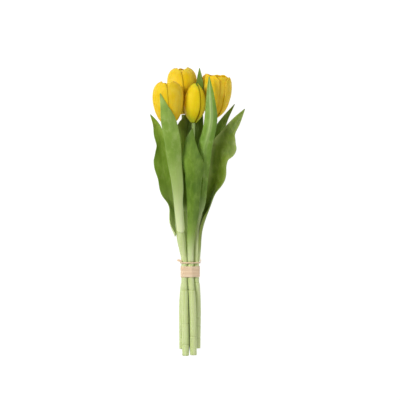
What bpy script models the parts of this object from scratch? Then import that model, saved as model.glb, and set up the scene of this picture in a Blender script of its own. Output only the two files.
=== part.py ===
"""A tied bunch of four tulips lying on its back, with the flowers towards +Y and +Z up.

The driving lengths are millimetres. put() turns them into metres.
"""

import math

import bpy
import numpy as np

MM = 0.001
CENTRE_X = 0.1
CENTRE_Y = -0.7

PETAL_THICK = 0.8
LEAF_THICK = 0.9
WHORL_STEP = 2.3
STEM_SIDES = 12
PETAL_CELLS = (8, 10)
LEAF_CELLS = (8, 24)
BAND_THICK = 1.1
BAND_GAP = 0.35
CORD_RADIUS = 1.1
CORD_GAP = 0.2
# The corners of a petal's rim stand lower than its tip by this share of the petal, and one
# side of each petal stands out, and the other in, by the lap, so that neighbours overlap.
RIM_DROP = 0.08
PETAL_LAP = 0.8
# The corners of a leaf's foot stand higher than its middle by this much, but two leaves reach
# down to the tie and end square there.
FOOT_RISE = 4.5
SQUARE_FEET = ("bud_front", "right_outer")

# Each stem: where its middle runs (x, y, z) with its radius, from the cut end to the flower,
# then the places of the sheath scars along y.
STEMS = {
    "left": (
        [(-17.7, -215.5, 15.6, 4.6), (-19, -125, 16.6, 4.6), (-19.6, -99, 16.3, 4.6),
         (-19.6, -82, 16.3, 4.6), (-19.6, -72, 16.3, 4.6), (-21.8, -60, 17, 5),
         (-24.6, -40, 18.5, 6.5), (-26.2, -28, 20.2, 5.8), (-31, 10, 26, 4.4),
         (-38, 72, 45, 4), (-42, 125, 63, 3.6)],
        [-118, -168, -199],
    ),
    "back": (
        [(-22.3, -206, 5.6, 4.6), (-21.7, -125, 5.7, 4.6), (-19.4, -99, 7.05, 4.6),
         (-19.4, -76, 7.05, 4.6), (-18.2, -40, 7, 4.5), (-18.5, 10, 8, 4.2),
         (-19.5, 80, 13, 3.9), (-20.3, 144, 20.6, 3.6)],
        [-108, -178, -190],
    ),
    "bud": (
        [(-6, -214.5, 14.9, 4.6), (-8.1, -125, 16.2, 4.6), (-10.1, -99, 16.3, 4.6),
         (-10.1, -76, 16.3, 4.6), (-10.6, -40, 18.5, 4.6), (-9.4, 10, 27, 4),
         (-7.6, 72, 38, 3.2), (-5.9, 130.2, 51, 2.5)],
        [-118, -187],
    ),
    "right": (
        [(-0.6, -205, 5.7, 4.6), (-0.5, -125, 7, 4.6), (-2.1, -99, 10.9, 4.6),
         (-2.1, -76, 10.9, 4.6), (-0.3, -40, 12, 4.6), (4.5, 10, 13, 4.3),
         (13, 80, 15.5, 4), (24.6, 138.4, 20.6, 3.8)],
        [-107, -160, -172, -190],
    ),
}
STEM_RADIUS = 4.6
SCAR_STEP = 0.5
SCAR_LIP = 0.2

# Each flower: the middle of its base, the middle of its top, its widest radius and its petals,
# three outer and three inner: the turn from the +Z side, the length, from 0 to 1, how far
# the rim opens, from 0 to 1 (-1 is a bud), and the width against a full one.
FLOWERS = {
    "left": (
        (-42, 126, 63), (-44.5, 191, 63.5), 22.4,
        [(-60, 1, 0, 1), (60, 1, 0.05, 1), (180, 0.97, 0, 1),
         (1, 0.97, 0, 1), (120, 0.97, 0, 1), (240, 0.97, 0, 1)],
    ),
    "back": (
        (-20.3, 145, 21), (-24.5, 213.5, 24.5), 22.4,
        [(-57, 1, 0.1, 1), (63, 1, 0.1, 1), (183, 0.98, 0, 1),
         (4, 0.97, 0, 1), (123, 0.98, 0, 1), (243, 0.97, 0, 1)],
    ),
    "bud": (
        (-5.9, 131, 51), (-2.4, 188.5, 53.8), 16.1,
        [(-35, 1, -1, 1.09), (95, 1, -1, 1), (211, 1, -1, 0.98),
         (34, 0.96, -1, 1), (154, 0.96, -1, 1), (272, 0.96, -1, 1)],
    ),
    "right": (
        (24.6, 139.4, 21), (29.5, 205, 24.5), 23,
        [(-28, 0.94, 0.75, 0.64), (99, 0.93, 0.45, 1), (216, 0.97, 0.7, 1),
         (34, 0.94, 0.42, 1), (157, 1, 0.6, 1), (-83, 1, 0.85, 1)],
    ),
}

# Each leaf: rows of (x, y, z of the midrib, width to -x, width to +x, turn, cupping).
# The turn is the side that the cup faces, from +Z towards +x, in degrees. Cupping is the angle
# that the section bends through: above 0 the edges rise, below 0 they fall.
LEAVES = {
    "left_front": [
        (-23.2, -32, 26.6, 7, 7.2, 18, -108), (-26.2, -10, 30.4, 6.6, 7.6, 10, -100),
        (-27.5, 8, 36, 7.5, 6.5, 0, -80), (-28.7, 34.7, 46.5, 8.4, 8.4, 0, -60),
        (-33, 67, 58, 10.2, 10.6, 0, -50), (-38, 113, 78, 12, 12, 0, -50),
        (-42.8, 134, 84, 11, 11, 0, -45), (-48.8, 154, 87.5, 5.4, 5.4, 0, -40),
        (-54.1, 172.2, 86.5, 0.6, 0.6, 0, -30),
    ],
    "bud_front": [
        (-10.1, -74.6, 21.9, 4.9, 4.9, 0, -100), (-10.2, -52, 23.4, 5.6, 5.6, 0, -112),
        (-9.2, -29, 27, 7.2, 7.4, 0, -110),
        (-7, -10, 32.5, 9.2, 9.6, 0, -95), (-6.2, 20, 40, 10.6, 11.6, 0, -85),
        (-6, 45, 48, 12.8, 13.6, 0, -80), (-5.6, 61, 53.3, 14, 17.4, 0, -78),
        (-6.8, 70, 55.4, 16.2, 17.2, 0, -74), (-8, 78, 57.4, 17.4, 14.4, 0, -70),
        (-9, 86, 59, 13.8, 11.8, 0, -66), (-9.8, 95, 60, 11.2, 9.6, 0, -60),
        (-9.5, 110, 60.5, 6, 5.4, 0, -40), (-7.4, 122, 60, 0.6, 0.6, 0, -30),
    ],
    "right_front": [
        (-1.6, -14, 16.8, 4.4, 4.4, -45, -90), (3.8, 12, 22.8, 6.2, 8, -15, -70),
        (7.4, 39, 32, 6.8, 7.8, 0, -65), (9.6, 75, 44, 10.2, 10.6, 0, -65),
        (12, 98, 52, 11.4, 10.9, 0, -65), (16.2, 114, 57.5, 10.3, 10.1, 0, -65),
        (19.8, 138, 63.5, 9.8, 10, 0, -65), (19.2, 160, 64.5, 7.4, 7.7, 0, -60),
        (18.2, 180, 62, 4.4, 4.4, 0, -40), (17.2, 198.7, 57, 0.6, 0.6, 0, -30),
    ],
    "right_outer": [
        (3.5, -74.6, 10.9, 4.6, 4.9, -88, 98), (4.7, -57, 10.9, 6.4, 6.6, -84, 128),
        (6.4, -32, 10.3, 8.6, 9.2, -76, 160),
        (16.4, 5, 8.6, 9.8, 11.4, -56, 142), (22.6, 27, 10, 12.8, 13, -43, 112),
        (30.4, 50, 17, 15.2, 17.6, -32, 88), (32, 72, 23, 15.4, 15.6, -22, 70),
        (35, 84, 26.6, 17, 16, -18, 62), (39.6, 94, 29.5, 19, 20.8, -15, 58),
        (41.2, 101, 31.2, 17.6, 19.4, -13, 52), (43, 107, 32.4, 15.6, 15.6, -12, 50),
        (45.2, 115, 34.5, 11, 12, -10, 40), (57, 134, 37, 6, 8, -10, 40),
        (70, 151.7, 38, 0.6, 0.6, -10, 30),
    ],
    "left_outer": [
        (-33.6, -38, 17.6, 7.4, 7, 80, 105), (-39.6, -18, 17.8, 9, 8.6, 60, 100),
        (-39.6, 6.5, 18.5, 10, 10.8, 50, 108), (-45.6, 27, 20.5, 11.6, 15.4, 32, 80),
        (-49, 50, 25, 12.3, 14, 20, 55), (-52.2, 68, 28, 13.6, 13.4, 15, 50),
        (-53, 80, 29.6, 13, 12, 15, 45), (-54.6, 90, 31, 9, 10, 15, 40),
        (-55.2, 98, 32, 6.4, 9, 15, 40), (-55.8, 105, 32.8, 7.2, 8.4, 15, 40),
        (-57, 112, 33.5, 7.7, 7.6, 15, 40), (-62.2, 130, 36, 4.8, 4.8, 15, 40),
        (-69.8, 143.7, 36, 0.6, 0.6, 15, 30),
    ],
    "right_back": [
        (10.2, 45, 7.9, 5.6, 5.6, 0, 115), (14, 64, 6.4, 8, 8, 0, 60),
        (26.2, 104, 6.5, 9.5, 9.5, 0, 40), (32.3, 121, 7, 8.2, 8.2, 0, 40),
        (39.3, 135, 8.5, 5.5, 5.5, 0, 40), (55.4, 160, 13, 0.5, 0.5, 0, 30),
    ],
    "bud_back": [
        (-9.3, 9, 21, 9, 8.6, 0, 180), (-7.6, 32, 22.2, 8.2, 7.4, 0, 75),
        (-5.2, 69, 26.5, 10.7, 10.7, 0, 55), (-2.2, 138, 32.5, 9.5, 11.3, 0, 55),
        (0.8, 165, 33.2, 4.6, 6.5, 0, 55), (2.4, 180, 36.6, 5.5, 6, 0, 45),
        (3.3, 190, 39.5, 5.4, 5.4, 0, 40), (3, 212.5, 38, 0.5, 0.5, 0, 30),
    ],
    "back_inner": [
        (-18.6, 0, 13.6, 8.3, 8.3, 0, -170), (-19.4, 24, 17, 8.8, 8.5, 0, -80),
        (-20.1, 62, 22.5, 11.5, 11.5, 0, -50), (-20, 113, 30, 12.9, 12.9, 0, -40),
        (-18.2, 127, 32, 11.5, 10, 0, -40), (-15.4, 140, 34, 5, 5, 0, -40),
        (-14.5, 151, 36, 0.6, 0.6, 0, -30),
    ],
}

# Each raffia piece runs round these stem middles (x, z) at the tie. The knot is a small loop
# of the thin strand, standing out on the left, and the tail is its loose end on the right.
TIE_STEMS = [(-19.6, 16.3), (-10.1, 16.3), (-2.1, 10.9), (-19.4, 7.05)]
BAND_Y = (-98.5, -81.5)
CORD_Y = -76.6
# The knot's middle, then its long and its short half.
KNOT = [(-26.9, -73.3, 19.6), (2.8, -0.4, 2.7), (0.15, 0.9, 0)]
KNOT_RADIUS = 0.85
TAIL = [(4.6, -74.6, 14.2), (5, -72.9, 15.2), (4.4, -70.8, 16.2)]

COLOURS = {
    "petal": (0.84, 0.56, 0.02, 0.45),
    "bud_petal": (0.72, 0.56, 0.02, 0.45),
    "leaf": (0.16, 0.29, 0.06, 0.45),
    "stem": (0.55, 0.64, 0.31, 0.4),
    "pistil": (0.62, 0.66, 0.28, 0.5),
    "raffia": (0.76, 0.58, 0.38, 0.8),
}


def material(slot):
    if slot in bpy.data.materials:
        return bpy.data.materials[slot]
    made = bpy.data.materials.new(slot)
    made.use_nodes = True
    shader = made.node_tree.nodes["Principled BSDF"]
    red, green, blue, rough = COLOURS[slot]
    shader.inputs["Base Color"].default_value = (red, green, blue, 1)
    shader.inputs["Roughness"].default_value = rough
    shader.inputs["Metallic"].default_value = 0
    return made


def smooth_rows(rows, stations, where):
    """Numbers that run smoothly through the rows, read at the places in where."""
    rows = np.asarray(rows, float)
    slopes = np.gradient(rows, stations, axis=0)
    cell = np.clip(np.searchsorted(stations, where) - 1, 0, len(stations) - 2)
    length = (stations[cell + 1] - stations[cell])[:, None]
    part = (where[:, None] - stations[cell][:, None]) / length
    start = (1 + 2 * part) * (1 - part) ** 2 * rows[cell]
    leave = part * (1 - part) ** 2 * length * slopes[cell]
    end = part**2 * (3 - 2 * part) * rows[cell + 1]
    arrive = part**2 * (part - 1) * length * slopes[cell + 1]
    return start + leave + end + arrive


def distances(points):
    steps = np.linalg.norm(np.diff(np.asarray(points, float), axis=0), axis=1)
    return np.concatenate([[0], np.cumsum(steps)])


def unit(vectors):
    return vectors / np.linalg.norm(vectors, axis=-1, keepdims=True)


def put(name, slot, points, faces):
    """One object from points in millimetres, smooth shaded, placed so that the bunch is centred."""
    points = np.asarray(points, float) - (CENTRE_X, CENTRE_Y, 0)
    mesh = bpy.data.meshes.new(name)
    mesh.from_pydata([tuple(p) for p in points * MM], [], faces)
    mesh.polygons.foreach_set("use_smooth", [True] * len(mesh.polygons))
    mesh.materials.append(material(slot))
    mesh.update()
    obj = bpy.data.objects.new(name, mesh)
    bpy.context.collection.objects.link(obj)
    return obj


def grid_faces(columns, rows, closed=False):
    """Four-sided faces between rows of points, each row holding that many columns."""
    faces = []
    for j in range(rows - 1):
        for i in range(columns if closed else columns - 1):
            k = (i + 1) % columns
            faces.append((j * columns + i, j * columns + k, (j + 1) * columns + k, (j + 1) * columns + i))
    return faces


def thicken(obj, thickness):
    solid = obj.modifiers.new("thickness", "SOLIDIFY")
    solid.thickness = thickness * MM
    solid.offset = 0
    solid.use_even_offset = False


def tube(name, slot, middles, radii, sides, loop=False):
    """A round solid along the middles, or a closed ring through them."""
    middles = np.asarray(middles, float)
    if loop:
        ahead = unit(np.roll(middles, -1, axis=0) - np.roll(middles, 1, axis=0))
        flat = np.cross(middles[1] - middles[0], middles[2] - middles[1])
        across = np.tile(unit(flat), (len(middles), 1))
    else:
        ahead = unit(np.gradient(middles, axis=0))
        across = unit(np.cross(ahead, (0, 0, 1)))
    up = np.cross(across, ahead)
    points = []
    for middle, radius, side, top in zip(middles, radii, across, up):
        for k in range(sides):
            turn = 2 * math.pi * k / sides
            points.append(middle + radius * (math.cos(turn) * side + math.sin(turn) * top))
    faces = grid_faces(sides, len(middles), closed=True)
    last = (len(middles) - 1) * sides
    if loop:
        faces += [(last + i, last + (i + 1) % sides, (i + 1) % sides, i) for i in range(sides)]
    else:
        faces.append(tuple(range(sides))[::-1])
        faces.append(tuple(last + i for i in range(sides)))
    return put(name, slot, points, [face[::-1] for face in faces])


def stem(name, middles, scars):
    middles = np.array(middles, float)
    stations = distances(middles[:, :3])
    ys = [middles[0, 1], middles[0, 1] + 1.2]
    for scar in sorted(scars):
        ys += [scar - 3, scar - 0.6, scar + 0.6]
    ys += [-98, -80, -74]
    ys += list(np.linspace(-62, middles[-1, 1], 12))
    ys = np.array(ys)
    path = smooth_rows(middles, stations, np.interp(ys, middles[:, 1], stations))
    radii = []
    for y, radius in zip(ys, path[:, 3]):
        if y < max(scars):
            radius += SCAR_STEP
        if any(abs(y - scar + 0.6) < 0.1 for scar in scars):
            radius += SCAR_LIP
        radii.append(radius)
    radii[0] -= SCAR_STEP
    return tube("stem_" + name, "stem", path[:, :3], radii, STEM_SIDES)


CUP_STATIONS = np.array([0, 0.12, 0.25, 0.42, 0.58, 0.75, 0.88, 0.96, 1.0])
CUP_CLOSED = np.array([0.20, 0.56, 0.78, 0.93, 1.0, 0.97, 0.85, 0.64, 0.43])
CUP_OPEN = np.array([0.20, 0.56, 0.78, 0.92, 0.99, 1.0, 0.97, 0.92, 0.88])
CUP_BUD = np.array([0.24, 0.60, 0.86, 1.0, 0.97, 0.80, 0.56, 0.34, 0.17])
SPREAD_STATIONS = np.array([0, 0.15, 0.35, 0.7, 0.84, 0.93, 1.0])
SPREAD = np.array([50, 57, 61, 61, 59, 54, 48])
BUD_SPREAD = 0.97


def cup_radius(opening):
    if opening < 0:
        return CUP_BUD
    return CUP_CLOSED + (CUP_OPEN - CUP_CLOSED) * opening


def petal(name, slot, flower, number):
    """One of a flower's six petals: the first three are the outer ones."""
    base, top, radius, petals = flower
    turn, length, opening, width = petals[number]
    inner = number > 2
    base = np.array(base, float)
    axis = np.array(top, float) - base
    height = np.linalg.norm(axis)
    axis = axis / height
    front = unit(np.array([0, 0, 1]) - axis * axis[2])
    side = np.cross(axis, front)
    across, along = PETAL_CELLS
    steps = np.linspace(0, 1, 41)
    cup = smooth_rows(cup_radius(opening)[:, None], CUP_STATIONS, steps)[:, 0] * radius
    heights = steps * height
    if inner:
        slope = np.stack([np.gradient(heights), np.gradient(cup)])
        slope = slope / np.linalg.norm(slope, axis=0)
        heights = heights + WHORL_STEP * slope[1]
        cup = cup - WHORL_STEP * slope[0]
    spread = smooth_rows(SPREAD[:, None], SPREAD_STATIONS, steps)[:, 0] * width
    if opening < 0:
        spread = spread * BUD_SPREAD
    points = []
    for v in np.linspace(0, length, along + 1):
        for u in np.linspace(-1, 1, across + 1):
            at = v * (1 - RIM_DROP * abs(u) ** 3)
            angle = math.radians(turn + u * np.interp(at, steps, spread))
            reach = np.interp(at, steps, cup) + PETAL_LAP * u * min(1, 4 * at)
            out = side * math.sin(angle) + front * math.cos(angle)
            points.append(base + axis * np.interp(at, steps, heights) + out * reach)
    obj = put(name, slot, points, grid_faces(across + 1, along + 1))
    thicken(obj, PETAL_THICK)
    return obj


def pistil(name, flower):
    base, top, radius, petals = flower
    base = np.array(base, float)
    axis = unit(np.array(top, float) - base)
    scale = radius / 22.2
    heights = np.array([0.6, 4, 12, 17, 19, 21, 22]) * scale
    radii = np.array([1.7, 2.2, 2.4, 2.2, 3.4, 3.2, 1.4]) * scale
    middles = base + heights[:, None] * axis
    return tube("pistil_" + name, "pistil", middles, radii, 8)


def leaf(name, rows):
    rows = np.array(rows, float)
    stations = distances(rows[:, :3])
    across, along = LEAF_CELLS
    where = np.linspace(0, stations[-1], along + 1)
    table = smooth_rows(rows, stations, where)
    ahead = unit(np.gradient(table[:, :3], axis=0))
    points = []
    for row, forward, past in zip(table, ahead, where):
        middle, left, right, turn, cupping = row[:3], row[3], row[4], row[5], row[6]
        rise = 0 if name in SQUARE_FEET else FOOT_RISE * max(0, 1 - past / 20)
        up = unit(np.array([0, 0, 1]) - forward * forward[2])
        side = np.cross(forward, up)
        turn = math.radians(turn)
        face = math.cos(turn) * up + math.sin(turn) * side
        edge = math.cos(turn) * side - math.sin(turn) * up
        bend = math.radians(cupping) / (left + right)
        for u in np.linspace(-1, 1, across + 1):
            angle = (right * max(u, 0) + left * min(u, 0)) * bend
            point = middle + forward * rise * u**2
            points.append(point + (edge * math.sin(angle) + face * (1 - math.cos(angle))) / bend)
    obj = put("leaf_" + name, "leaf", points, grid_faces(across + 1, along + 1))
    thicken(obj, LEAF_THICK)
    return obj


def round_the_stems(gap, count):
    """Points (x, z) of a loop held that far off the stems at the tie."""
    loop = []
    reach = STEM_RADIUS + gap
    for k in range(count):
        turn = 2 * math.pi * k / count
        out = np.array([math.cos(turn), math.sin(turn)])
        loop.append(max(TIE_STEMS, key=lambda c: out[0] * c[0] + out[1] * c[1]) + out * reach)
    return loop


def raffia():
    """The wound band, the thin strand above it, the strand's knot and its loose tail."""
    count = 32
    points = []
    for gap, y in (
        (BAND_GAP, BAND_Y[0] + 0.4), (BAND_GAP, BAND_Y[1] - 0.4),
        (BAND_GAP + BAND_THICK, BAND_Y[1]), (BAND_GAP + BAND_THICK, BAND_Y[0]),
    ):
        points += [(x, y, z) for x, z in round_the_stems(gap, count)]
    faces = grid_faces(count, 4, closed=True)
    faces += [(3 * count + i, 3 * count + (i + 1) % count, (i + 1) % count, i) for i in range(count)]
    put("raffia_band", "raffia", points, faces)
    path = [(x, CORD_Y, z) for x, z in round_the_stems(CORD_GAP + CORD_RADIUS, count)]
    tube("raffia_strand", "raffia", path, [CORD_RADIUS] * count, 8, loop=True)
    middle, long, short = np.array(KNOT)
    path = []
    for k in range(16):
        turn = 2 * math.pi * k / 16
        path.append(middle + math.cos(turn) * long + math.sin(turn) * short)
    tube("raffia_knot", "raffia", path, [KNOT_RADIUS] * 16, 8, loop=True)
    where = np.linspace(0, distances(TAIL)[-1], 6)
    tail = smooth_rows(TAIL, distances(TAIL), where)
    tube("raffia_tail", "raffia", tail, [0.9, 1, 1, 0.9, 0.7, 0.4], 8)


for old in list(bpy.data.objects):
    bpy.data.objects.remove(old, do_unlink=True)

for name, (middles, scars) in STEMS.items():
    stem(name, middles, scars)
for name, flower in FLOWERS.items():
    slot = "bud_petal" if name == "bud" else "petal"
    for k in range(3):
        petal(f"petal_{name}_outer_{k + 1}", slot, flower, k)
        petal(f"petal_{name}_inner_{k + 1}", slot, flower, k + 3)
    pistil(name, flower)
for name, rows in LEAVES.items():
    leaf(name, rows)
raffia()
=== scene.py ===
"""Looks of the tied bunch of four tulips: its petals, leaves, stems and raffia."""

import math

import bpy
import numpy as np
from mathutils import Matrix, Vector


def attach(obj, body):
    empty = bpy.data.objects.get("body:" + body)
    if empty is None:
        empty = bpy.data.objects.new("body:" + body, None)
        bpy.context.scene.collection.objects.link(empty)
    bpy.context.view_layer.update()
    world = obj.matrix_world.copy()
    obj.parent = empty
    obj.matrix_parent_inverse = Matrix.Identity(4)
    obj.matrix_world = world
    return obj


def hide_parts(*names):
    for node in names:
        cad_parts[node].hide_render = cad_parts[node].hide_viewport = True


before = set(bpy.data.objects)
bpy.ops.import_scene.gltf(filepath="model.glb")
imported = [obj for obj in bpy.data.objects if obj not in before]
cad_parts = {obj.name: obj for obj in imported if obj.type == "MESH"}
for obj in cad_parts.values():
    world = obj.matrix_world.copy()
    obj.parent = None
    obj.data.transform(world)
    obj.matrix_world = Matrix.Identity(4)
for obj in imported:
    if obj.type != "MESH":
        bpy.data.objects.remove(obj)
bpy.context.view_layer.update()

# Lengths are in millimetres, and in_place() turns them into metres. The tables below are laid out
# from a point this far from the middle of the bunch.
MM = 0.001
CENTRE_X = 0.1
CENTRE_Y = -0.7

# Petals: thickness, the step in from the outer whorl to the inner one, how far one side of each
# stands out and the other in, how much lower the corners of its rim stand, and its cells.
PETAL_THICK = 0.7
WHORL_STEP = 1.95
PETAL_LAP = 0.55
RIM_DROP = 0.08
PETAL_CELLS = (36, 56)
PETAL_EDGE = 0.35

# Leaves: thickness, its share left at the rim and at the foot, how much higher the corners of the
# foot stand, which leaves end square instead, and their cells.
LEAF_THICK = 0.8
LEAF_EDGE = 0.4
LEAF_FOOT = 0.3
FOOT_RISE = 4.5
SQUARE_FEET = ("bud_front", "right_outer")
LEAF_CELLS = (40, 130)

# Stems: sides, rings, the slack that keeps them apart, the lip and the groove at each scar, and
# how much the cut end's rim is rounded.
STEM_SIDES = 32
STEM_RINGS = 64
STEM_SLACK = 0.06
SCAR_LIP = 0.1
SCAR_GROOVE = 0.35
CUT_BEVEL = 0.6

# Raffia: points round the stems, the wound fibres, their thickness and gap, then the strand.
TIE_POINTS = 96
BAND_WRAPS = 10
WRAP_THICK = 0.6
WRAP_GAP = 0.35
WRAP_INSET = 1.2
CORD_RADIUS = 1.1
CORD_GAP = 0.2
CORD_THICK = 1.8
KNOT_POINTS = 40
KNOT_SIDES = 12
TAIL_RADIUS = 0.8
TAIL_TAPER = 0.92

# Pistil, at the size for a flower of this radius: its column, its three lobes and, in an open
# flower, six stamens standing round it.
FULL_FLOWER = 22.2
COLUMN_RADIUS = 1.9
COLUMN_LENGTH = 16
COLUMN_MIDDLE = 11.5
LOBE_RADIUS = 1.7
LOBE_OUT = 1.3
LOBE_HEIGHT = 20.5
STAMENS = 6
STAMEN_OUT = 4.2
FILAMENT_LENGTH = 10
FILAMENT_MIDDLE = 10
ANTHER_HEIGHT = 18

# Each stem: where its middle runs (x, y, z) with its radius, from the cut end to the flower,
# then the places of the sheath scars along y.
STEMS = {
    "left": (
        [(-17.7, -215.5, 15.6, 4.6), (-19, -125, 16.6, 4.6), (-19.6, -99, 16.3, 4.6),
         (-19.6, -82, 16.3, 4.6), (-19.6, -72, 16.3, 4.6), (-21.8, -60, 17, 5),
         (-24.6, -40, 18.5, 6.5), (-26.2, -28, 20.2, 5.8), (-31, 10, 26, 4.4),
         (-38, 72, 45, 4), (-42, 125, 63, 3.6)],
        [-118, -168, -199],
    ),
    "back": (
        [(-22.3, -206, 5.6, 4.6), (-21.7, -125, 5.7, 4.6), (-19.4, -99, 7.05, 4.6),
         (-19.4, -76, 7.05, 4.6), (-18.2, -40, 7, 4.5), (-18.5, 10, 8, 4.2),
         (-19.5, 80, 13, 3.9), (-20.3, 144, 20.6, 3.6)],
        [-108, -178, -190],
    ),
    "bud": (
        [(-6, -214.5, 14.9, 4.6), (-8.1, -125, 16.2, 4.6), (-10.1, -99, 16.3, 4.6),
         (-10.1, -76, 16.3, 4.6), (-10.6, -40, 18.5, 4.6), (-9.4, 10, 27, 4),
         (-7.6, 72, 38, 3.2), (-5.9, 130.2, 51, 2.5)],
        [-118, -187],
    ),
    "right": (
        [(-0.6, -205, 5.7, 4.6), (-0.5, -125, 7, 4.6), (-2.1, -99, 10.9, 4.6),
         (-2.1, -76, 10.9, 4.6), (-0.3, -40, 12, 4.6), (4.5, 10, 13, 4.3),
         (13, 80, 15.5, 4), (24.6, 138.4, 20.6, 3.8)],
        [-107, -160, -172, -190],
    ),
}
STEM_RADIUS = 4.6
SCAR_STEP = 0.5

# Each flower: the middle of its base, the middle of its top, its widest radius and its petals,
# three outer and three inner: the turn from the +Z side, the length, from 0 to 1, how far
# the rim opens, from 0 to 1 (-1 is a bud), and the width against a full one.
FLOWERS = {
    "left": (
        (-42, 126, 63), (-44.5, 191, 63.5), 22.4,
        [(-60, 1, 0, 1), (60, 1, 0.05, 1), (180, 0.97, 0, 1),
         (1, 0.97, 0, 1), (120, 0.97, 0, 1), (240, 0.97, 0, 1)],
    ),
    "back": (
        (-20.3, 145, 21), (-24.5, 213.5, 24.5), 22.4,
        [(-57, 1, 0.1, 1), (63, 1, 0.1, 1), (183, 0.98, 0, 1),
         (4, 0.97, 0, 1), (123, 0.98, 0, 1), (243, 0.97, 0, 1)],
    ),
    "bud": (
        (-5.9, 131, 51), (-2.4, 188.5, 53.8), 16.1,
        [(-35, 1, -1, 1.09), (95, 1, -1, 1), (211, 1, -1, 0.98),
         (34, 0.96, -1, 1), (154, 0.96, -1, 1), (272, 0.96, -1, 1)],
    ),
    "right": (
        (24.6, 139.4, 21), (29.5, 205, 24.5), 23,
        [(-28, 0.94, 0.75, 0.64), (99, 0.93, 0.45, 1), (216, 0.97, 0.7, 1),
         (34, 0.94, 0.42, 1), (157, 1, 0.6, 1), (-83, 1, 0.85, 1)],
    ),
}

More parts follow.
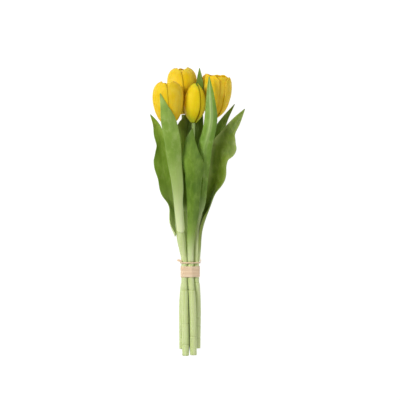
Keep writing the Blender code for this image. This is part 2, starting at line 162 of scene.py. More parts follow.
# Each leaf: rows of (x, y, z of the midrib, width to -x, width to +x, turn, cupping).
# The turn is the side that the cup faces, from +Z towards +x, in degrees. Cupping is the angle
# that the section bends through: above 0 the edges rise, below 0 they fall.
LEAVES = {
    "left_front": [
        (-23.2, -32, 26.6, 7, 7.2, 18, -108), (-26.2, -10, 30.4, 6.6, 7.6, 10, -100),
        (-27.5, 8, 36, 7.5, 6.5, 0, -80), (-28.7, 34.7, 46.5, 8.4, 8.4, 0, -60),
        (-33, 67, 58, 10.2, 10.6, 0, -50), (-38, 113, 78, 12, 12, 0, -50),
        (-42.8, 134, 84, 11, 11, 0, -45), (-48.8, 154, 87.5, 5.4, 5.4, 0, -40),
        (-54.1, 172.2, 86.5, 0.6, 0.6, 0, -30),
    ],
    "bud_front": [
        (-10.1, -74.6, 21.9, 4.9, 4.9, 0, -100), (-10.2, -52, 23.4, 5.6, 5.6, 0, -112),
        (-9.2, -29, 27, 7.2, 7.4, 0, -110),
        (-7, -10, 32.5, 9.2, 9.6, 0, -95), (-6.2, 20, 40, 10.6, 11.6, 0, -85),
        (-6, 45, 48, 12.8, 13.6, 0, -80), (-5.6, 61, 53.3, 14, 17.4, 0, -78),
        (-6.8, 70, 55.4, 16.2, 17.2, 0, -74), (-8, 78, 57.4, 17.4, 14.4, 0, -70),
        (-9, 86, 59, 13.8, 11.8, 0, -66), (-9.8, 95, 60, 11.2, 9.6, 0, -60),
        (-9.5, 110, 60.5, 6, 5.4, 0, -40), (-7.4, 122, 60, 0.6, 0.6, 0, -30),
    ],
    "right_front": [
        (-1.6, -14, 16.8, 4.4, 4.4, -45, -90), (3.8, 12, 22.8, 6.2, 8, -15, -70),
        (7.4, 39, 32, 6.8, 7.8, 0, -65), (9.6, 75, 44, 10.2, 10.6, 0, -65),
        (12, 98, 52, 11.4, 10.9, 0, -65), (16.2, 114, 57.5, 10.3, 10.1, 0, -65),
        (19.8, 138, 63.5, 9.8, 10, 0, -65), (19.2, 160, 64.5, 7.4, 7.7, 0, -60),
        (18.2, 180, 62, 4.4, 4.4, 0, -40), (17.2, 198.7, 57, 0.6, 0.6, 0, -30),
    ],
    "right_outer": [
        (3.5, -74.6, 10.9, 4.6, 4.9, -88, 98), (4.7, -57, 10.9, 6.4, 6.6, -84, 128),
        (6.4, -32, 10.3, 8.6, 9.2, -76, 160),
        (16.4, 5, 8.6, 9.8, 11.4, -56, 142), (22.6, 27, 10, 12.8, 13, -43, 112),
        (30.4, 50, 17, 15.2, 17.6, -32, 88), (32, 72, 23, 15.4, 15.6, -22, 70),
        (35, 84, 26.6, 17, 16, -18, 62), (39.6, 94, 29.5, 19, 20.8, -15, 58),
        (41.2, 101, 31.2, 17.6, 19.4, -13, 52), (43, 107, 32.4, 15.6, 15.6, -12, 50),
        (45.2, 115, 34.5, 11, 12, -10, 40), (57, 134, 37, 6, 8, -10, 40),
        (70, 151.7, 38, 0.6, 0.6, -10, 30),
    ],
    "left_outer": [
        (-33.6, -38, 17.6, 7.4, 7, 80, 105), (-39.6, -18, 17.8, 9, 8.6, 60, 100),
        (-39.6, 6.5, 18.5, 10, 10.8, 50, 108), (-45.6, 27, 20.5, 11.6, 15.4, 32, 80),
        (-49, 50, 25, 12.3, 14, 20, 55), (-52.2, 68, 28, 13.6, 13.4, 15, 50),
        (-53, 80, 29.6, 13, 12, 15, 45), (-54.6, 90, 31, 9, 10, 15, 40),
        (-55.2, 98, 32, 6.4, 9, 15, 40), (-55.8, 105, 32.8, 7.2, 8.4, 15, 40),
        (-57, 112, 33.5, 7.7, 7.6, 15, 40), (-62.2, 130, 36, 4.8, 4.8, 15, 40),
        (-69.8, 143.7, 36, 0.6, 0.6, 15, 30),
    ],
    "right_back": [
        (10.2, 45, 7.9, 5.6, 5.6, 0, 115), (14, 64, 6.4, 8, 8, 0, 60),
        (26.2, 104, 6.5, 9.5, 9.5, 0, 40), (32.3, 121, 7, 8.2, 8.2, 0, 40),
        (39.3, 135, 8.5, 5.5, 5.5, 0, 40), (55.4, 160, 13, 0.5, 0.5, 0, 30),
    ],
    "bud_back": [
        (-9.3, 9, 21, 9, 8.6, 0, 180), (-7.6, 32, 22.2, 8.2, 7.4, 0, 75),
        (-5.2, 69, 26.5, 10.7, 10.7, 0, 55), (-2.2, 138, 32.5, 9.5, 11.3, 0, 55),
        (0.8, 165, 33.2, 4.6, 6.5, 0, 55), (2.4, 180, 36.6, 5.5, 6, 0, 45),
        (3.3, 190, 39.5, 5.4, 5.4, 0, 40), (3, 212.5, 38, 0.5, 0.5, 0, 30),
    ],
    "back_inner": [
        (-18.6, 0, 13.6, 8.3, 8.3, 0, -170), (-19.4, 24, 17, 8.8, 8.5, 0, -80),
        (-20.1, 62, 22.5, 11.5, 11.5, 0, -50), (-20, 113, 30, 12.9, 12.9, 0, -40),
        (-18.2, 127, 32, 11.5, 10, 0, -40), (-15.4, 140, 34, 5, 5, 0, -40),
        (-14.5, 151, 36, 0.6, 0.6, 0, -30),
    ],
}

# Each raffia piece runs round these stem middles (x, z) at the tie. The knot is a small loop
# of the thin strand, standing out on the left, and the tail is its loose end on the right.
TIE_STEMS = [(-19.6, 16.3), (-10.1, 16.3), (-2.1, 10.9), (-19.4, 7.05)]
BAND_Y = (-98.5, -81.5)
CORD_Y = -76.6
# The knot's middle, then its long and its short half.
KNOT = [(-26.9, -73.3, 19.6), (2.8, -0.4, 2.7), (0.15, 0.9, 0)]
KNOT_RADIUS = 0.85
TAIL = [(4.6, -74.6, 14.2), (5, -72.9, 15.2), (4.4, -70.8, 16.2)]

CUP_STATIONS = np.array([0, 0.12, 0.25, 0.42, 0.58, 0.75, 0.88, 0.96, 1.0])
CUP_CLOSED = np.array([0.20, 0.56, 0.78, 0.93, 1.0, 0.97, 0.85, 0.64, 0.43])
CUP_OPEN = np.array([0.20, 0.56, 0.78, 0.92, 0.99, 1.0, 0.97, 0.92, 0.88])
CUP_BUD = np.array([0.24, 0.60, 0.86, 1.0, 0.97, 0.80, 0.56, 0.34, 0.17])
SPREAD_STATIONS = np.array([0, 0.15, 0.35, 0.7, 0.84, 0.93, 1.0])
SPREAD = np.array([50, 57, 61, 61, 59, 54, 48])
BUD_SPREAD = 0.97

chance = np.random.default_rng(4)


# ---------------------------------------------------------------- shader words


class Feed:
    """One socket or number in a material, with arithmetic that adds its Math nodes."""

    def __init__(self, finish, socket):
        self.finish = finish
        self.socket = socket

    def maths(self, operation, *values, clamp=False):
        return self.finish.node(
            "ShaderNodeMath", {"operation": operation, "use_clamp": clamp}, dict(enumerate(values))
        )

    def __add__(self, other):
        return self.maths("ADD", self, other)

    def __radd__(self, other):
        return self.maths("ADD", other, self)

    def __sub__(self, other):
        return self.maths("SUBTRACT", self, other)

    def __rsub__(self, other):
        return self.maths("SUBTRACT", other, self)

    def __mul__(self, other):
        return self.maths("MULTIPLY", self, other)

    def __rmul__(self, other):
        return self.maths("MULTIPLY", other, self)

    def __abs__(self):
        return self.maths("ABSOLUTE", self)

    def held(self):
        """The value kept between 0 and 1."""
        return self.maths("ADD", self, 0.0, clamp=True)

    def part(self, number):
        """Another output of the node that this one comes from."""
        return Feed(self.finish, self.socket.node.outputs[number])

    def ramp(self, low, high):
        """0 below low, 1 above high, eased between."""
        return self.finish.node(
            "ShaderNodeMapRange",
            {"interpolation_type": "SMOOTHSTEP"},
            {"Value": self, "From Min": low, "From Max": high},
        )


class Finish:
    """A material being made: one way to add any node, and the shader that it ends in."""

    def __init__(self, name):
        self.material = bpy.data.materials.new(name)
        self.material.use_nodes = True
        self.tree = self.material.node_tree
        self.shader = self.tree.nodes["Principled BSDF"]

    def node(self, kind, settings, sockets, out=0):
        made = self.tree.nodes.new(kind)
        for key, value in settings.items():
            setattr(made, key, value)
        for key, value in sockets.items():
            self.join(made.inputs[key], value)
        return Feed(self, made.outputs[out])

    def join(self, socket, value):
        if isinstance(value, Feed):
            self.tree.links.new(value.socket, socket)
        elif isinstance(value, tuple) and socket.type == "RGBA":
            socket.default_value = (*value, 1)
        else:
            socket.default_value = value

    def mix(self, amount, first, second):
        """The second colour laid over the first by that amount."""
        return self.node(
            "ShaderNodeMix", {"data_type": "RGBA"}, {0: amount, 6: first, 7: second}, out=2
        )

    def split(self, vector):
        """The first number of a vector. Its parts 1 and 2 are the others."""
        return self.node("ShaderNodeSeparateXYZ", {}, {0: vector})

    def across_along(self):
        """The piece's own map: u across it and v along it, both 0 to 1."""
        across = self.split(self.node("ShaderNodeUVMap", {"uv_map": "UVMap"}, {}))
        return across, across.part(1)

    def place(self):
        """The place on the object, in metres."""
        return self.node("ShaderNodeTexCoord", {}, {}, out=3)

    def noise(self, where, scale, detail=3.0, rough=0.5):
        return self.node(
            "ShaderNodeTexNoise",
            {},
            {"Vector": where, "Scale": scale, "Detail": detail, "Roughness": rough},
        )

    def vector(self, x, y):
        return self.node("ShaderNodeCombineXYZ", {}, {0: x, 1: y})

    def stretched(self, where, x, y, z):
        """The place scaled along each axis."""
        scales = (x, y, z)
        return self.node("ShaderNodeVectorMath", {"operation": "MULTIPLY"}, {0: where, 1: scales})

    def bump(self, height, distance, strength):
        return self.node(
            "ShaderNodeBump", {}, {"Height": height, "Distance": distance, "Strength": strength}
        )

    def done(self, **sockets):
        for name, value in sockets.items():
            self.join(self.shader.inputs[name.replace("_", " ")], value)
        return self.material


def petal_finish(name, body, glow, shade, base, tip, green):
    """A waxy petal: faint veins along it, a foot that turns to base, a lighter rim.

    On the open flowers base is a darker orange, painted shade of the cup's lower part; on the
    bud's outer petals it is the foot's own greener tone. tip and green are how green its tip and
    its foot are, from 0 to 1.
    """
    f = Finish(name)
    u, v = f.across_along()
    side = abs(u * 2.0 - 1.0)
    place = f.place()
    veins = f.noise(f.vector(u * 22.0, v * 1.4), 1.0, 2.0, 0.5)
    fine = f.noise(f.vector(u * 90.0, v * 3.0), 1.0, 2.0, 0.5)
    cloud = f.noise(place, 55.0, 2.0)
    colour = f.mix(cloud.ramp(0.3, 0.7), body, glow)
    colour = f.mix(veins.ramp(0.42, 0.8) * 0.16, colour, shade)
    colour = f.mix(fine.ramp(0.5, 0.8) * 0.05, colour, shade)
    colour = f.mix(side.ramp(0.86, 1.0) * 0.30, colour, glow)
    # The foot turns to base: on the open flowers a darker orange that is painted shade, on the bud's
    # outer petals its own greener tone.
    colour = f.mix((1.0 - v.ramp(0.02, 0.5)) * 0.6, colour, base)
    foot = (1.0 - v.ramp(0.0, 0.22)) * green
    keel = (1.0 - side.ramp(0.0, 0.3)) * (1.0 - v.ramp(0.1, 0.7)) * green * 0.5
    colour = f.mix((foot + keel).held(), colour, (0.40, 0.46, 0.02))
    colour = f.mix(v.ramp(0.84, 1.0) * tip, colour, (0.50, 0.54, 0.03))
    relief = f.bump(veins * 0.6 + fine * 0.4, 0.0005, 0.2)
    return f.done(
        Base_Color=colour,
        Roughness=(0.48 + fine * 0.14).held(),
        Normal=relief,
        Subsurface_Weight=0.3,
        Subsurface_Radius=(1.0, 0.5, 0.02),
        Subsurface_Scale=0.004,
        Specular_IOR_Level=0.09,
    )


def leaf_finish(name, green, deep, pale, foot, pale_to, ridge=0.0, margin=0.0):
    """A bloomed leaf: faint parallel veins, a pale foot and a fine pale rim.

    The pale foot ends at pale_to along it. ridge is how much painted highlight lies along its
    midrib and margin how pale its sides are, from 0 to 1.
    """
    f = Finish(name)
    u, v = f.across_along()
    side = abs(u * 2.0 - 1.0)
    place = f.place()
    veins = f.noise(f.vector(u * 40.0, v * 1.1), 1.0, 2.0, 0.55)
    fine = f.noise(f.vector(u * 150.0, v * 4.0), 1.0, 2.0, 0.5)
    cloud = f.noise(place, 22.0, 2.0)
    bloom = f.noise(place, 260.0, 2.0)
    mottle = f.noise(f.stretched(place, 150.0, 70.0, 150.0), 1.0, 3.0, 0.6)
    colour = f.mix(cloud.ramp(0.3, 0.7), deep, green)
    colour = f.mix(mottle.ramp(0.48, 0.66) * 0.55, colour, deep)
    colour = f.mix((1.0 - mottle).ramp(0.5, 0.68) * 0.22, colour, pale)
    colour = f.mix(veins.ramp(0.5, 0.85) * 0.16, colour, pale)
    colour = f.mix(fine.ramp(0.55, 0.85) * 0.08, colour, pale)
    # A paler band along the upper midrib: painted highlight, as much as ridge says.
    colour = f.mix((1.0 - side.ramp(0.02, 0.5)) * v.ramp(0.4, 0.7) * ridge, colour, pale)
    colour = f.mix(side.ramp(0.45, 1.0) * margin, colour, pale)
    colour = f.mix(side.ramp(0.95, 1.0) * 0.35, colour, pale)
    colour = f.mix((1.0 - v.ramp(pale_to * 0.3, pale_to)) * 0.8, colour, pale)
    colour = f.mix((1.0 - v.ramp(0.0, pale_to * 0.55)), colour, foot)
    colour = f.mix(v.ramp(0.985, 1.0) * 0.5, colour, (0.20, 0.17, 0.06))
    relief = f.bump(veins * 0.6 + fine * 0.4, 0.0005, 0.3)
    return f.done(
        Base_Color=colour,
        Roughness=(0.40 + bloom * 0.18).held(),
        Normal=relief,
        Subsurface_Weight=0.08,
        Subsurface_Radius=(0.4, 1.0, 0.15),
        Subsurface_Scale=0.002,
        Specular_IOR_Level=0.3,
    )


def stem_finish():
    """Juicy stems: pale streaks along them, darker upwards, and darker in the groove at each scar,
    partly the scar's own brownish tone and partly painted shade.
    """
    f = Finish("stem_skin")
    place = f.place()
    y = f.split(place).part(1)
    streaks = f.noise(f.stretched(place, 420.0, 14.0, 420.0), 1.0, 3.0, 0.55)
    mottle = f.noise(place, 130.0, 3.0)
    scar = f.node("ShaderNodeAttribute", {"attribute_name": "scar"}, {}, out=2)
    colour = f.mix(streaks.ramp(0.3, 0.75), (0.56, 0.65, 0.26), (0.66, 0.75, 0.38))
    colour = f.mix(mottle.ramp(0.5, 0.8) * 0.35, colour, (0.72, 0.79, 0.48))
    colour = f.mix(y.ramp(-0.07, 0.08) * 0.8, colour, (0.22, 0.35, 0.07))
    # Darker in the groove at each scar: partly its own brownish tone, partly painted shade.
    colour = f.mix(scar.ramp(0.1, 0.9) * 0.4, colour, (0.36, 0.42, 0.13))
    relief = f.bump(streaks * 0.7 + mottle * 0.3, 0.0005, 0.3)
    return f.done(
        Base_Color=colour,
        Roughness=(0.36 + mottle * 0.16).held(),
        Normal=relief,
        Subsurface_Weight=0.2,
        Subsurface_Radius=(0.8, 1.0, 0.4),
        Subsurface_Scale=0.003,
        Specular_IOR_Level=0.45,
    )


def cut_finish():
    """The cut face of a stem: pale pith with small greener pores."""
    f = Finish("stem_cut")
    place = f.place()
    pores = f.node("ShaderNodeTexVoronoi", {}, {"Vector": place, "Scale": 1500.0})
    colour = f.mix(pores.ramp(0.1, 0.5), (0.46, 0.50, 0.24), (0.72, 0.76, 0.52))
    return f.done(Base_Color=colour, Roughness=0.35, Normal=f.bump(pores, 0.0003, 0.5))


def pistil_finish():
    f = Finish("pistil_skin")
    place = f.place()
    grain = f.noise(place, 900.0, 3.0)
    colour = f.mix(grain.ramp(0.35, 0.7), (0.46, 0.52, 0.16), (0.70, 0.72, 0.30))
    return f.done(Base_Color=colour, Roughness=0.55, Normal=f.bump(grain, 0.0004, 0.5))


def raffia_finish(name, light, dark):
    """Dry palm fibre: fine lines round the bundle and worn pale ridges."""
    f = Finish(name)
    place = f.place()
    fibres = f.noise(f.stretched(place, 45.0, 1500.0, 45.0), 1.0, 4.0, 0.6)
    strips = f.noise(f.stretched(place, 18.0, 420.0, 18.0), 1.0, 2.0, 0.5)
    colour = f.mix(strips.ramp(0.3, 0.7), dark, light)
    colour = f.mix(fibres.ramp(0.45, 0.8) * 0.4, colour, (0.92, 0.78, 0.60))
    colour = f.mix((1.0 - fibres).ramp(0.58, 0.8) * 0.25, colour, (0.55, 0.36, 0.19))
    relief = f.bump(fibres * 0.7 + strips * 0.3, 0.0005, 0.6)
    return f.done(
        Base_Color=colour, Roughness=(0.62 + fibres * 0.2).held(), Normal=relief, Sheen_Weight=0.15
    )


# ---------------------------------------------------------------- shapes


def smooth_rows(rows, stations, where):
    """Numbers that run smoothly through the rows, read at the places in where."""
    rows = np.asarray(rows, float)
    slopes = np.gradient(rows, stations, axis=0)
    cell = np.clip(np.searchsorted(stations, where) - 1, 0, len(stations) - 2)
    length = (stations[cell + 1] - stations[cell])[:, None]
    part = (where[:, None] - stations[cell][:, None]) / length
    start = (1 + 2 * part) * (1 - part) ** 2 * rows[cell]
    leave = part * (1 - part) ** 2 * length * slopes[cell]
    end = part**2 * (3 - 2 * part) * rows[cell + 1]
    arrive = part**2 * (part - 1) * length * slopes[cell + 1]
    return start + leave + end + arrive


def distances(points):
    steps = np.linalg.norm(np.diff(np.asarray(points, float), axis=0), axis=1)
    return np.concatenate([[0], np.cumsum(steps)])


def unit(vectors):
    return vectors / np.linalg.norm(vectors, axis=-1, keepdims=True)


def in_place(points):
    """Millimetres in the tables' layout to metres in the frame."""
    return (np.asarray(points, float) - (CENTRE_X, CENTRE_Y, 0)) * MM


def let_go():
    if bpy.context.object and bpy.context.object.mode != "OBJECT":
        bpy.ops.object.mode_set(mode="OBJECT")
    bpy.ops.object.select_all(action="DESELECT")


def only(piece):
    let_go()
    piece.select_set(True)
    bpy.context.view_layer.objects.active = piece


def draw_on(step):
    """Extrudes what is selected by that step."""
    bpy.ops.mesh.extrude_region_move(TRANSFORM_OT_translate={"value": tuple(step)})


def turn_outwards():
    """Ends the editing of the mesh with all its faces turned outwards."""
    bpy.ops.mesh.select_all(action="SELECT")
    bpy.ops.mesh.normals_make_consistent(inside=False)
    bpy.ops.object.mode_set(mode="OBJECT")


def apply_all(piece):
    only(piece)
    for name in [m.name for m in piece.modifiers]:
        bpy.ops.object.modifier_apply(modifier=name)


def blade(name, finishes, cells, shape, thickness, thin_edge, thin_foot=1.0):
    """A thin blade: a grid laid over shape(u, v), thickened, with its rim thinned to an edge.

    u runs from -1 to 1 across it and v from 0 to 1 along it. Its front wears the first of the
    finishes and its back the last.
    """
    let_go()
    bpy.ops.mesh.primitive_grid_add(x_subdivisions=cells[0], y_subdivisions=cells[1], size=2)
    piece = bpy.context.object
    piece.name = name
    mesh = piece.data
    mesh.name = name
    for finish in finishes:
        mesh.materials.append(finish)
    flat = np.zeros(len(mesh.vertices) * 3)
    mesh.vertices.foreach_get("co", flat)
    flat = flat.reshape(-1, 3)
    u = flat[:, 0]
    v = flat[:, 1] / 2 + 0.5
    mesh.vertices.foreach_set("co", in_place(shape(u, v)).ravel())
    body = piece.vertex_groups.new(name="body")
    weight = 1 - (1 - thin_edge) * np.clip((np.abs(u) - 0.8) / 0.2, 0, 1) ** 2
    weight *= 1 - (1 - thin_foot) * np.clip(1 - v / 0.07, 0, 1)
    for k, amount in enumerate(weight):
        body.add([k], float(amount), "REPLACE")
    mesh.update()
    solid = piece.modifiers.new("thickness", "SOLIDIFY")
    solid.thickness = thickness * MM
    solid.offset = 0
    solid.vertex_group = "body"
    solid.use_even_offset = False
    solid.material_offset = len(finishes) - 1
    apply_all(piece)
    bpy.ops.object.shade_smooth()
    return piece


def keep(piece, slot, node, *finishes):
    """The piece rides on the bunch, wears its finishes and stands for its CAD node."""
    for finish in finishes:
        piece.data.materials.append(finish)
    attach(piece, "root")
    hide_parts(node)


def cup_radius(opening):
    if opening < 0:
        return CUP_BUD
    return CUP_CLOSED + (CUP_OPEN - CUP_CLOSED) * opening


def petal(flower_name, number, finish):
    """One of a flower's six petals: the first three are the outer ones."""
    base, top, radius, petals = FLOWERS[flower_name]
    turn, length, opening, width = petals[number]
    inner = number > 2
    base = np.array(base, float)
    axis = np.array(top, float) - base
    height = np.linalg.norm(axis)
    axis = axis / height
    front = unit(np.array([0, 0, 1]) - axis * axis[2])
    side = np.cross(axis, front)
    steps = np.linspace(0, 1, 61)
    cup = smooth_rows(cup_radius(opening)[:, None], CUP_STATIONS, steps)[:, 0] * radius
    heights = steps * height
    if inner:
        slope = np.stack([np.gradient(heights), np.gradient(cup)])
        slope = slope / np.linalg.norm(slope, axis=0)
        heights = heights + WHORL_STEP * slope[1]
        cup = cup - WHORL_STEP * slope[0]
    spread = smooth_rows(SPREAD[:, None], SPREAD_STATIONS, steps)[:, 0] * width
    if opening < 0:
        spread = spread * BUD_SPREAD
    lean, ripple = chance.uniform(-1, 1, 2)

    def shape(u, v):
        at = v * length * (1 - RIM_DROP * np.abs(u) ** 3)
        at = at - 0.012 * v**4 * np.cos(6 * u + 3 * lean)
        reach = np.interp(at, steps, cup) + PETAL_LAP * u * np.clip(4 * at, 0, 1)
        body = np.sin(np.pi * np.clip(v, 0, 1))
        keel = -0.35 * np.exp(-((u / 0.14) ** 2)) * body**0.6
        folds = 0.22 * np.cos(6 * u + lean) * body
        rim = 0.30 * np.abs(u) ** 5 * np.sin(8 * v + 5 * ripple) * v
        reach = reach + keel + folds + rim
        angle = np.radians(turn + u * np.interp(at, steps, spread))
        out = side * np.sin(angle)[:, None] + front * np.cos(angle)[:, None]
        return base + axis * np.interp(at, steps, heights)[:, None] + out * reach[:, None]

    whorl = "inner" if inner else "outer"
    place = number % 3 + 1
    name = f"{flower_name}_{whorl}_petal_{place}"
    piece = blade(name, [finish], PETAL_CELLS, shape, PETAL_THICK, PETAL_EDGE)
    slot = "bud_petal" if flower_name == "bud" else "petal"
    keep(piece, slot, f"petal_{flower_name}_{whorl}_{place}")


# Each leaf's ripple: how far its rims swing, how many times along the leaf and where the
# swing starts, then how far the crease along its middle stands up.
RIPPLES = {
    "left_front": (0.6, 3.0, 0.4, 0.15),
    "bud_front": (0.9, 3.5, 1.6, 0.2),
    "right_front": (0.4, 3.0, 2.2, 0.8),
    "right_outer": (1.5, 4.5, 0.3, 0.2),
    "left_outer": (1.5, 4.5, 1.2, 0.2),
    "right_back": (0.5, 3.0, 0.0, 0.2),
    "bud_back": (0.15, 3.0, 0.7, 0.2),
    "back_inner": (0.15, 3.0, 1.1, 0.1),
}


def leaf(name, front, back):
    """One leaf, bent across and along as its rows say, with its ripple."""
    rows = np.array(LEAVES[name], float)
    stations = distances(rows[:, :3])
    steps = np.linspace(0, stations[-1], 161)
    table = smooth_rows(rows, stations, steps)
    ahead = unit(np.gradient(table[:, :3], axis=0))
    up = unit(np.array([0, 0, 1]) - ahead * ahead[:, 2:3])
    side = np.cross(ahead, up)
    turn = np.radians(table[:, 5])[:, None]
    face = np.cos(turn) * up + np.sin(turn) * side
    edge = np.cos(turn) * side - np.sin(turn) * up
    swing, count, start, ridge = RIPPLES[name]
    foot_rise = 0 if name in SQUARE_FEET else FOOT_RISE

    def at(column, v):
        return np.interp(v * stations[-1], steps, column)

    def shape(u, v):
        left, right = at(table[:, 3], v), at(table[:, 4], v)
        bend = np.radians(at(table[:, 6], v)) / (left + right)
        s = (u + 1) / 2 * (left + right) - left
        safe = np.where(np.abs(bend) < 1e-6, 1e-6, bend)
        sideways = np.sin(s * safe) / safe
        rise = (1 - np.cos(s * safe)) / safe
        live = np.clip((v - 0.12) / 0.2, 0, 1) * np.clip((1 - v) / 0.15, 0, 1)
        lift = swing * u**2 * np.sin(2 * np.pi * count * v + start + 1.3 * np.sign(u)) * live
        crease = -ridge * np.sign(np.median(table[:, 6])) * np.exp(-((u / 0.12) ** 2)) * live
        rise = rise + lift + crease
        foot = foot_rise * np.clip(1 - v * stations[-1] / 20, 0, 1) * u**2
        middle, forward, e, n = [
            np.stack([at(column, v) for column in columns.T], axis=1)
            for columns in (table[:, :3], ahead, edge, face)
        ]
        return middle + forward * foot[:, None] + e * sideways[:, None] + n * rise[:, None]

    piece = blade(
        f"{name}_leaf", [front, back], LEAF_CELLS, shape, LEAF_THICK, LEAF_EDGE, LEAF_FOOT
    )
    keep(piece, "leaf", f"leaf_{name}")


def stem(name, skin, cut):
    """A ring drawn out along the stem, stepped at each sheath scar."""
    middles, scars = STEMS[name]
    middles = np.array(middles, float)
    ys = [middles[0, 1], middles[0, 1] + 0.7]
    ys += list(np.linspace(middles[0, 1] + 2, middles[-1, 1], STEM_RINGS))
    for scar in scars:
        ys += [scar - 2.2, scar - 1.4, scar - 0.8, scar - 0.2, scar + 0.5, scar + 1.3]
    ys = np.array(sorted(ys))
    stations = distances(middles[:, :3])
    path = smooth_rows(middles, stations, np.interp(ys, middles[:, 1], stations))
    radii, marks = [], []
    for y, radius in zip(ys, path[:, 3]):
        mark = 0
        radius -= STEM_SLACK
        for scar in scars:
            radius += SCAR_LIP * math.exp(-(((y - scar + 0.8) / 0.8) ** 2))
            radius -= SCAR_GROOVE * math.exp(-(((y - scar - 0.6) / 0.9) ** 2))
            # mark weighs the darker tone in the groove: partly the scar's own brown, partly painted
            # shade.
            mark += math.exp(-(((y - scar - 0.5) / 0.7) ** 2))
        radii.append(radius + (SCAR_STEP if y < max(scars) else 0))
        marks.append(mark)
    radii[0] -= CUT_BEVEL
    path = in_place(path[:, :3])
    let_go()
    bpy.ops.mesh.primitive_circle_add(
        vertices=STEM_SIDES, radius=radii[0] * MM, fill_type="NGON", location=path[0],
        rotation=(math.pi / 2, 0, 0),
    )
    piece = bpy.context.object
    piece.name = f"{name}_stem"
    bpy.ops.object.transform_apply(location=True, rotation=True, scale=True)
    bpy.ops.object.mode_set(mode="EDIT")
    bpy.ops.mesh.select_all(action="SELECT")
    for k in range(1, len(path)):
        draw_on(path[k] - path[k - 1])
        grow = radii[k] / radii[k - 1]
        bpy.ops.transform.resize(value=(grow, grow, grow), center_override=tuple(path[k]))
    turn_outwards()
    bpy.ops.object.shade_smooth_by_angle(angle=math.radians(50))
    mark = piece.data.attributes.new("scar", "FLOAT", "POINT")
    heights = [vertex.co.y for vertex in piece.data.vertices]
    mark.data.foreach_set("value", np.interp(heights, path[:, 1], marks))
    keep(piece, "stem", f"stem_{name}", skin, cut)
    for face in piece.data.polygons:
        if len(face.vertices) > 4 and face.center.y < -0.1:
            face.material_index = 1


def round_about(out, number, count, height):
    """One of a ring of places round the +Z axis, in metres."""
    turn = 2 * math.pi * number / count
    return (out * MM * math.cos(turn), out * MM * math.sin(turn), height * MM)


def pistil(name, finish):
    """Three fused lobes on a column, with six stamens standing round it."""
    base, top, radius, _ = FLOWERS[name]
    base = np.array(base, float)
    axis = Vector(unit(np.array(top, float) - base))
    scale = radius / FULL_FLOWER
    made = []
    let_go()
    bpy.ops.mesh.primitive_cylinder_add(
        vertices=12, radius=COLUMN_RADIUS * MM, depth=COLUMN_LENGTH * MM,
        location=(0, 0, COLUMN_MIDDLE * MM),
    )
    column = bpy.context.object
    made.append(column)
    for k in range(3):
        bpy.ops.mesh.primitive_uv_sphere_add(
            segments=12, ring_count=8, radius=LOBE_RADIUS * MM,
            location=round_about(LOBE_OUT, k, 3, LOBE_HEIGHT),
        )
        made.append(bpy.context.object)
    for k in range(0 if name == "bud" else STAMENS):
        bpy.ops.mesh.primitive_cone_add(
            vertices=8, radius1=0.4 * MM, radius2=0.35 * MM, depth=FILAMENT_LENGTH * MM,
            location=round_about(STAMEN_OUT, k, STAMENS, FILAMENT_MIDDLE),
        )
        made.append(bpy.context.object)
        bpy.ops.mesh.primitive_uv_sphere_add(
            segments=10, ring_count=8, radius=1.0 * MM,
            location=round_about(STAMEN_OUT, k, STAMENS, ANTHER_HEIGHT),
        )
        bpy.context.object.scale = (1, 1, 3.2)
        made.append(bpy.context.object)
    let_go()
    for part in made:
        part.select_set(True)
    bpy.context.view_layer.objects.active = column
    bpy.ops.object.join()
    column.name = f"{name}_pistil"
    bpy.ops.object.transform_apply(location=True, rotation=True, scale=True)
    column.scale = (scale, scale, scale)
    column.rotation_mode = "QUATERNION"
    column.rotation_quaternion = axis.to_track_quat("Z", "Y")
    column.location = Vector(in_place(base))
    bpy.ops.object.transform_apply(location=True, rotation=True, scale=True)
    bpy.ops.object.shade_smooth_by_angle(angle=math.radians(60))
    keep(column, "pistil", f"pistil_{name}", finish)


# ---------------------------------------------------------------- raffia


def round_the_stems(gap, count):
    """Points (x, z) of a loop held that far off the stems at the tie."""
    loop = []
    reach = STEM_RADIUS + gap
    for k in range(count):
        turn = 2 * math.pi * k / count
        out = np.array([math.cos(turn), math.sin(turn)])
        loop.append(max(TIE_STEMS, key=lambda c: out[0] * c[0] + out[1] * c[1]) + out * reach)
    return loop


def ribbon(name, points, width, thick):
    """A closed flat fibre through the points: its width lies along y."""
    count = len(points)
    points = np.asarray(points, float)
    ahead = unit(np.roll(points, -1, axis=0) - np.roll(points, 1, axis=0))
    out = unit(np.cross(ahead, (0, -1, 0)))
    # Its rounded section, as shares of half its width and half its thickness.
    section = [
        (-1, 0), (-0.8, 0.8), (0, 1), (0.8, 0.8), (1, 0), (0.8, -0.8), (0, -1), (-0.8, -0.8),
    ]
    let_go()
    bpy.ops.mesh.primitive_torus_add(major_segments=count, minor_segments=len(section))
    piece = bpy.context.object
    piece.name = name
    at = []
    for k in range(count):
        for a, b in section:
            at.append(points[k] + np.array([0, a * width / 2, 0]) + out[k] * b * thick / 2)
    piece.data.vertices.foreach_set("co", in_place(at).ravel())
    piece.data.update()
    only(piece)
    bpy.ops.object.mode_set(mode="EDIT")
    turn_outwards()
    bpy.ops.object.shade_smooth()
    return piece


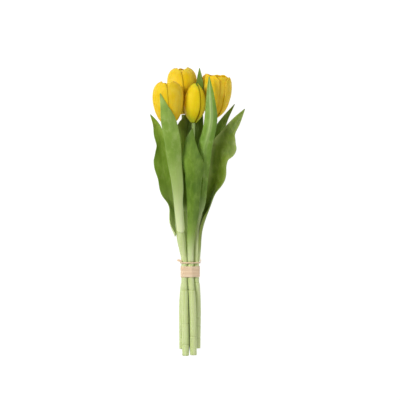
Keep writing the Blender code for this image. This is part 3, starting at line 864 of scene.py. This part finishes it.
def band(finish):
    """Flat fibres wound side by side, each a little askew."""
    low, high = BAND_Y
    pieces = []
    for k in range(BAND_WRAPS):
        middle = low + WRAP_INSET + (high - low - 2 * WRAP_INSET) * k / (BAND_WRAPS - 1)
        width = 2.3 + chance.uniform(0, 0.9)
        skew = chance.uniform(-0.9, 0.9)
        start = chance.uniform(0, 6.3)
        swell = chance.uniform(0.3, 0.6)
        middle = min(max(middle, low + width / 2 + abs(skew)), high - width / 2 - abs(skew))
        points = []
        for i, (x, z) in enumerate(round_the_stems(swell + WRAP_GAP, TIE_POINTS)):
            turn = 2 * math.pi * i / TIE_POINTS
            points.append((x, middle + skew * math.sin(turn + start), z))
        pieces.append(ribbon(f"raffia_wrap_{k + 1}", points, width, WRAP_THICK))
    let_go()
    for piece in pieces:
        piece.select_set(True)
    bpy.context.view_layer.objects.active = pieces[0]
    bpy.ops.object.join()
    pieces[0].name = "raffia_winding"
    keep(pieces[0], "raffia", "raffia_band", finish)


def strand(finish):
    """The thin strand above the band."""
    path = [(x, CORD_Y, z) for x, z in round_the_stems(CORD_GAP + CORD_RADIUS, TIE_POINTS)]
    piece = ribbon("raffia_thread", path, 2 * CORD_RADIUS, CORD_THICK)
    keep(piece, "raffia", "raffia_strand", finish)


def knot(finish):
    """The small loop of the strand that stands out on the left."""
    middle, long, short = np.array(KNOT)
    path = []
    for k in range(KNOT_POINTS):
        turn = 2 * math.pi * k / KNOT_POINTS
        path.append(middle + math.cos(turn) * long + math.sin(turn) * short)
    ahead = unit(np.roll(path, -1, axis=0) - np.roll(path, 1, axis=0))
    flat = unit(np.cross(long, short))
    out = np.cross(ahead, flat)
    let_go()
    bpy.ops.mesh.primitive_torus_add(major_segments=KNOT_POINTS, minor_segments=KNOT_SIDES)
    piece = bpy.context.object
    piece.name = "raffia_loop"
    at = []
    for k in range(KNOT_POINTS):
        for j in range(KNOT_SIDES):
            turn = 2 * math.pi * j / KNOT_SIDES
            thick = KNOT_RADIUS * (1 + 0.12 * math.sin(3 * turn + 0.4 * k))
            at.append(path[k] + thick * (math.cos(turn) * out[k] + math.sin(turn) * flat))
    piece.data.vertices.foreach_set("co", in_place(at).ravel())
    piece.data.update()
    bpy.ops.object.mode_set(mode="EDIT")
    turn_outwards()
    bpy.ops.object.shade_smooth()
    keep(piece, "raffia", "raffia_knot", finish)


def tail(finish):
    """The strand's loose end, tapered to a wisp."""
    where = np.linspace(0, distances(TAIL)[-1], 12)
    path = in_place(smooth_rows(TAIL, distances(TAIL), where))
    let_go()
    bpy.ops.mesh.primitive_circle_add(
        vertices=12, radius=TAIL_RADIUS * MM, fill_type="NGON", location=path[0]
    )
    piece = bpy.context.object
    piece.name = "raffia_wisp"
    piece.rotation_mode = "QUATERNION"
    piece.rotation_quaternion = Vector(path[1] - path[0]).to_track_quat("Z", "Y")
    bpy.ops.object.transform_apply(location=True, rotation=True, scale=True)
    bpy.ops.object.mode_set(mode="EDIT")
    bpy.ops.mesh.select_all(action="SELECT")
    for k in range(1, len(path)):
        draw_on(path[k] - path[k - 1])
        bpy.ops.transform.resize(value=(TAIL_TAPER,) * 3, center_override=tuple(path[k]))
    turn_outwards()
    bpy.ops.object.shade_smooth_by_angle(angle=math.radians(60))
    keep(piece, "raffia", "raffia_tail", finish)


# ---------------------------------------------------------------- the bunch

# Each petal finish: body, glow, shade and foot. The open flowers' darker orange foot is painted shade.
yellow = petal_finish(
    "petal_yellow",
    (0.84, 0.51, 0.004), (0.88, 0.60, 0.05), (0.76, 0.41, 0.001), (0.80, 0.43, 0.002),
    tip=0.0, green=0.10,
)
bud_yellow = petal_finish(
    "petal_bud",
    (0.80, 0.55, 0.006), (0.88, 0.64, 0.02), (0.66, 0.42, 0.003), (0.50, 0.44, 0.005),
    tip=0.6, green=0.9,
)
# The bud's inner petals wear a darker orange all over: painted shade, as they lie inside the outer
# ones.
bud_inner_painted_shade = petal_finish(
    "petal_bud_inner_painted_shade",
    (0.66, 0.32, 0.002), (0.72, 0.38, 0.003), (0.52, 0.22, 0.001), (0.50, 0.26, 0.002),
    tip=0.1, green=0.2,
)
for name in FLOWERS:
    for number in range(6):
        finish = yellow
        if name == "bud":
            finish = bud_yellow if number < 3 else bud_inner_painted_shade
        petal(name, number, finish)

# Each leaf: green, deep green, pale green, its foot, and how far up it the pale foot goes.
FOOT = (0.60, 0.69, 0.34)
LEFT_FRONT_FOOT = (0.72, 0.80, 0.43)
LEFT_OUTER_FOOT = (0.60, 0.68, 0.32)
GREENS = {
    "left_front": ((0.27, 0.41, 0.065), (0.18, 0.30, 0.035), (0.48, 0.59, 0.22), LEFT_FRONT_FOOT, 0.62),
    "bud_front": ((0.15, 0.26, 0.020), (0.075, 0.155, 0.007), (0.30, 0.44, 0.08), FOOT, 0.42),
    "right_front": ((0.20, 0.34, 0.035), (0.12, 0.24, 0.018), (0.46, 0.60, 0.23), FOOT, 0.2),
    "right_outer": ((0.16, 0.24, 0.013), (0.085, 0.14, 0.004), (0.34, 0.42, 0.11), FOOT, 0.2),
    "left_outer": ((0.24, 0.38, 0.04), (0.15, 0.26, 0.012), (0.42, 0.54, 0.15), LEFT_OUTER_FOOT, 0.5),
    "right_back": ((0.20, 0.30, 0.03), (0.14, 0.23, 0.015), (0.34, 0.44, 0.12), FOOT, 0.15),
    "bud_back": ((0.16, 0.27, 0.02), (0.11, 0.19, 0.010), (0.30, 0.40, 0.11), FOOT, 0.15),
    "back_inner": ((0.17, 0.25, 0.02), (0.12, 0.18, 0.012), (0.28, 0.36, 0.10), FOOT, 0.15),
}
for name, (green, deep, pale, foot, pale_to) in GREENS.items():
    # right_front gets a painted highlight along its midrib.
    ridge = 0.6 if name == "right_front" else 0.0
    margin = 0.6 if name == "right_outer" else 0.0
    front = leaf_finish(f"leaf_{name}_front", green, deep, pale, foot, pale_to, ridge, margin)
    paler = tuple((a + b) / 2 for a, b in zip(green, pale))
    back = leaf_finish(f"leaf_{name}_back", paler, green, pale, foot, pale_to)
    leaf(name, front, back)

skin, cut = stem_finish(), cut_finish()
for name in STEMS:
    stem(name, skin, cut)
pistils = pistil_finish()
for name in FLOWERS:
    pistil(name, pistils)

fibre = raffia_finish("raffia_fibre", (0.88, 0.68, 0.46), (0.76, 0.52, 0.31))
band(fibre)
strand(fibre)
knot(fibre)
tail(fibre)

# ---------------------------------------------------------------- floor, light and camera

# In metres.
FLOOR_SIZE = 60
CAMERA_HEIGHT = 3.0

let_go()
bpy.ops.mesh.primitive_plane_add(size=FLOOR_SIZE)
floor = bpy.context.object
floor.name = "floor"
# The floor is white and gives its own light, except in the narrow strip under the stems, where a dark
# patch is painted shadow.
paper = Finish("floor_white")
across = paper.split(paper.place())
along = across.part(1)
# outside_painted_shadow is 0 in the strip of painted shadow under the stems and 1 elsewhere.
outside_painted_shadow = abs(across + 0.0105).ramp(0.006, 0.013)
outside_painted_shadow = outside_painted_shadow + along.ramp(-0.07, -0.05) + (1.0 - along.ramp(-0.214, -0.2))
paper.done(
    Base_Color=(0.12, 0.12, 0.12),
    Roughness=0.9,
    Emission_Color=paper.mix(outside_painted_shadow.held(), (0.04, 0.05, 0.02), (1.0, 1.0, 1.0)),
    Emission_Strength=0.96,
)
floor.data.materials.append(paper.material)

world = bpy.data.worlds.new("studio")
world.use_nodes = True
world.node_tree.nodes["Background"].inputs["Color"].default_value = (1, 1, 1, 1)
world.node_tree.nodes["Background"].inputs["Strength"].default_value = 0.24
bpy.context.scene.world = world


def soft_light(name, place, size, power):
    bpy.ops.object.light_add(type="AREA", location=place)
    light = bpy.context.object
    light.name = name
    light.data.size = size
    light.data.energy = power
    light.rotation_euler = (-Vector(place)).to_track_quat("-Z", "Y").to_euler()
    light.visible_camera = False


soft_light("key_light", (-1.2, 0.7, 1.5), 0.8, 32)
soft_light("fill_light", (1.2, -0.4, 1.8), 1.6, 15)

# The camera looks straight down at this place in the tables' layout.
AIM = Vector(in_place((3.75, 16.95, 0)))
bpy.ops.object.camera_add(location=(AIM.x, AIM.y, CAMERA_HEIGHT), rotation=(0, 0, 0))
camera = bpy.context.object
camera.name = "camera"
camera.data.sensor_width = 36
camera.data.lens = 180
camera.data.clip_end = 20
bpy.context.scene.camera = camera
bpy.context.scene.view_settings.view_transform = "Standard"
let_go()
